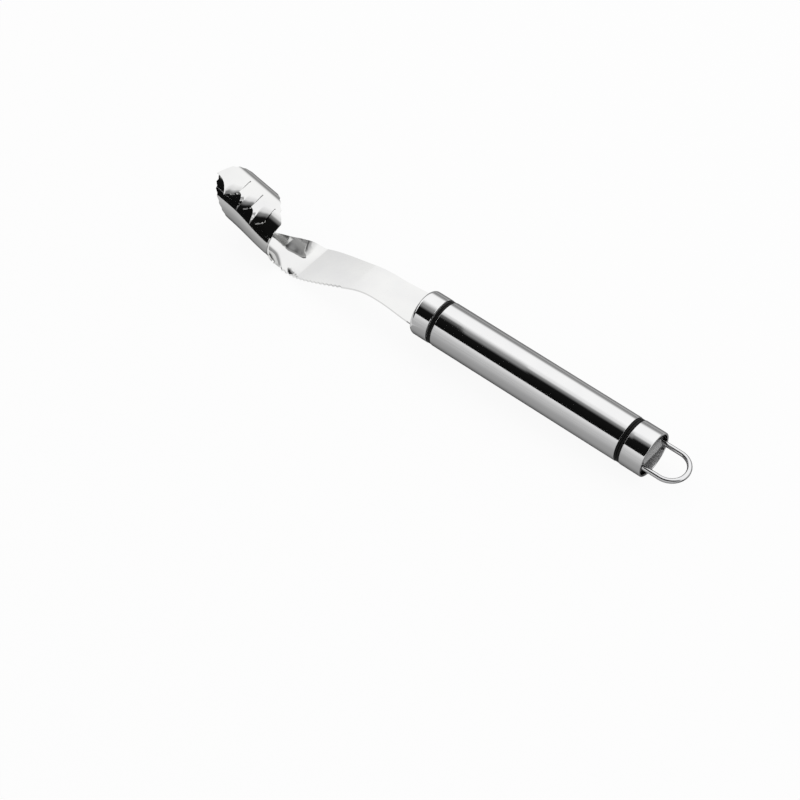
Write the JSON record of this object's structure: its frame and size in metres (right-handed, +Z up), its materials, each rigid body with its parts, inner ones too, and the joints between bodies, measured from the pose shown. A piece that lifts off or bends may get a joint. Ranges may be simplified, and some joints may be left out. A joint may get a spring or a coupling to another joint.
{
  "type": "pepper corer",
  "caption": "Hand tool for coring peppers: a toothed steel tube rolled on a cranked strip, in a round sleeve handle with dark rings and a wire hanging loop at the tail.",
  "frame": {"origin": "middle of the overall box, on the surface the tool lies on", "axes": "+X from the head towards the tail, +Y across the tool towards the head's closed far wall, +Z up"},
  "size_m": [0.2138, 0.021, 0.0294],
  "materials": {
    "blade_steel": "polished sheet",
    "handle_steel": "polished tube",
    "ring_black": "satin",
    "plug_grey": "moulded",
    "pin_steel": "drawn",
    "wire_steel": "bright wire"
  },
  "bodies": {
    "tool": {"corer_blade": "blade_steel", "front_cap": "handle_steel", "front_ring": "ring_black", "handle_sleeve": "handle_steel", "rear_ring": "ring_black", "rear_cap": "handle_steel", "front_plug": "plug_grey", "tang_pin": "pin_steel", "rear_plug": "plug_grey"},
    "loop": {"hanging_loop": "wire_steel"}
  },
  "joints": [
    {"name": "loop_swing", "type": "hinge", "parent": "tool", "child": "loop", "pos_m": [0.08974, 0.00094, 0.00907], "axis": [0, 1, 0], "range_deg": [-35, 35]}
  ]
}
